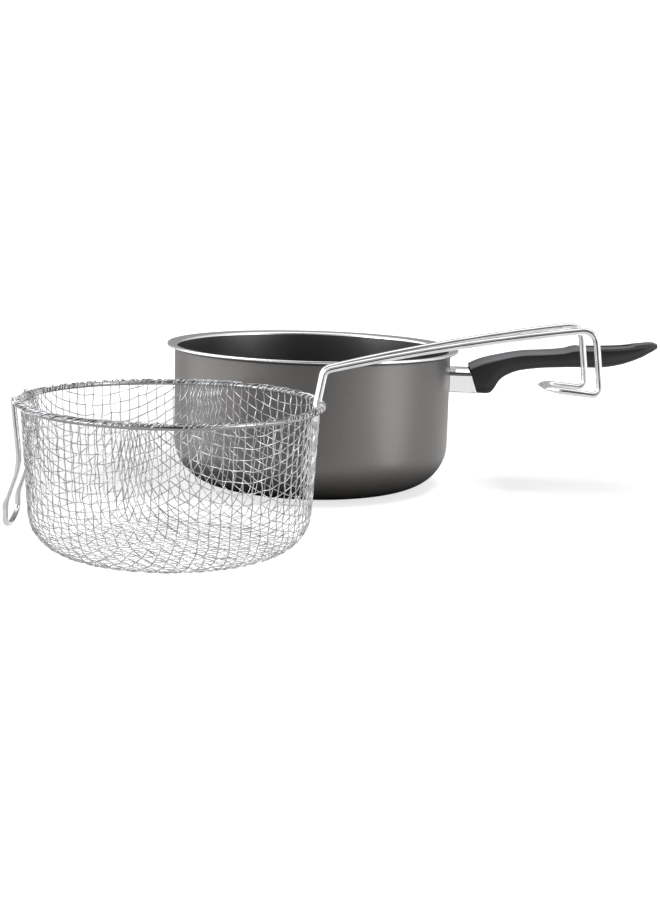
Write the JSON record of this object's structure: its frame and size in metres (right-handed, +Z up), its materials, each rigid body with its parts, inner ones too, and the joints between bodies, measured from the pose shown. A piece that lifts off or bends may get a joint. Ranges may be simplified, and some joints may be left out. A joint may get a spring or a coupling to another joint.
{
  "type": "deep fry pot with basket",
  "caption": "Round coated metal frying pot with a flared lip and a long moulded handle, beside a woven wire basket with a two-arm wire handle and a drain hook.",
  "frame": {"origin": "centre of the pot's flat base, on the surface that the pot stands on", "axes": "+X along the pot's handle, away from the pot; +Y away from the basket; +Z up through the pot's axis"},
  "size_m": [0.5094, 0.4807, 0.1625],
  "materials": {
    "pot_body": "warm dark grey non-stick coating, satin, bright bare metal on the edge of the lip",
    "handle_bracket": "plain mild steel",
    "flame_guard": "bright plated sheet",
    "handle_grip": "black phenolic moulding, semi-gloss",
    "grip_screw": "zinc plated",
    "basket_net": "bright tinned wire cloth",
    "rim_ring": "bright tinned wire",
    "basket_handle": "bright tinned wire",
    "drain_hook": "bright tinned wire"
  },
  "bodies": {
    "pot": {"pot_body": "pot_body", "handle_bracket": "handle_bracket", "flame_guard": "flame_guard", "handle_grip": "handle_grip", "grip_screw": "grip_screw"},
    "basket": {"basket_net": "basket_net", "rim_ring": "rim_ring", "basket_handle": "basket_handle", "drain_hook": "drain_hook"}
  },
  "joints": [
    {"name": "basket_lift", "type": "slide", "parent": "pot", "child": "basket", "axis": [0, 0, 1], "range_m": [0, 0.25]}
  ]
}
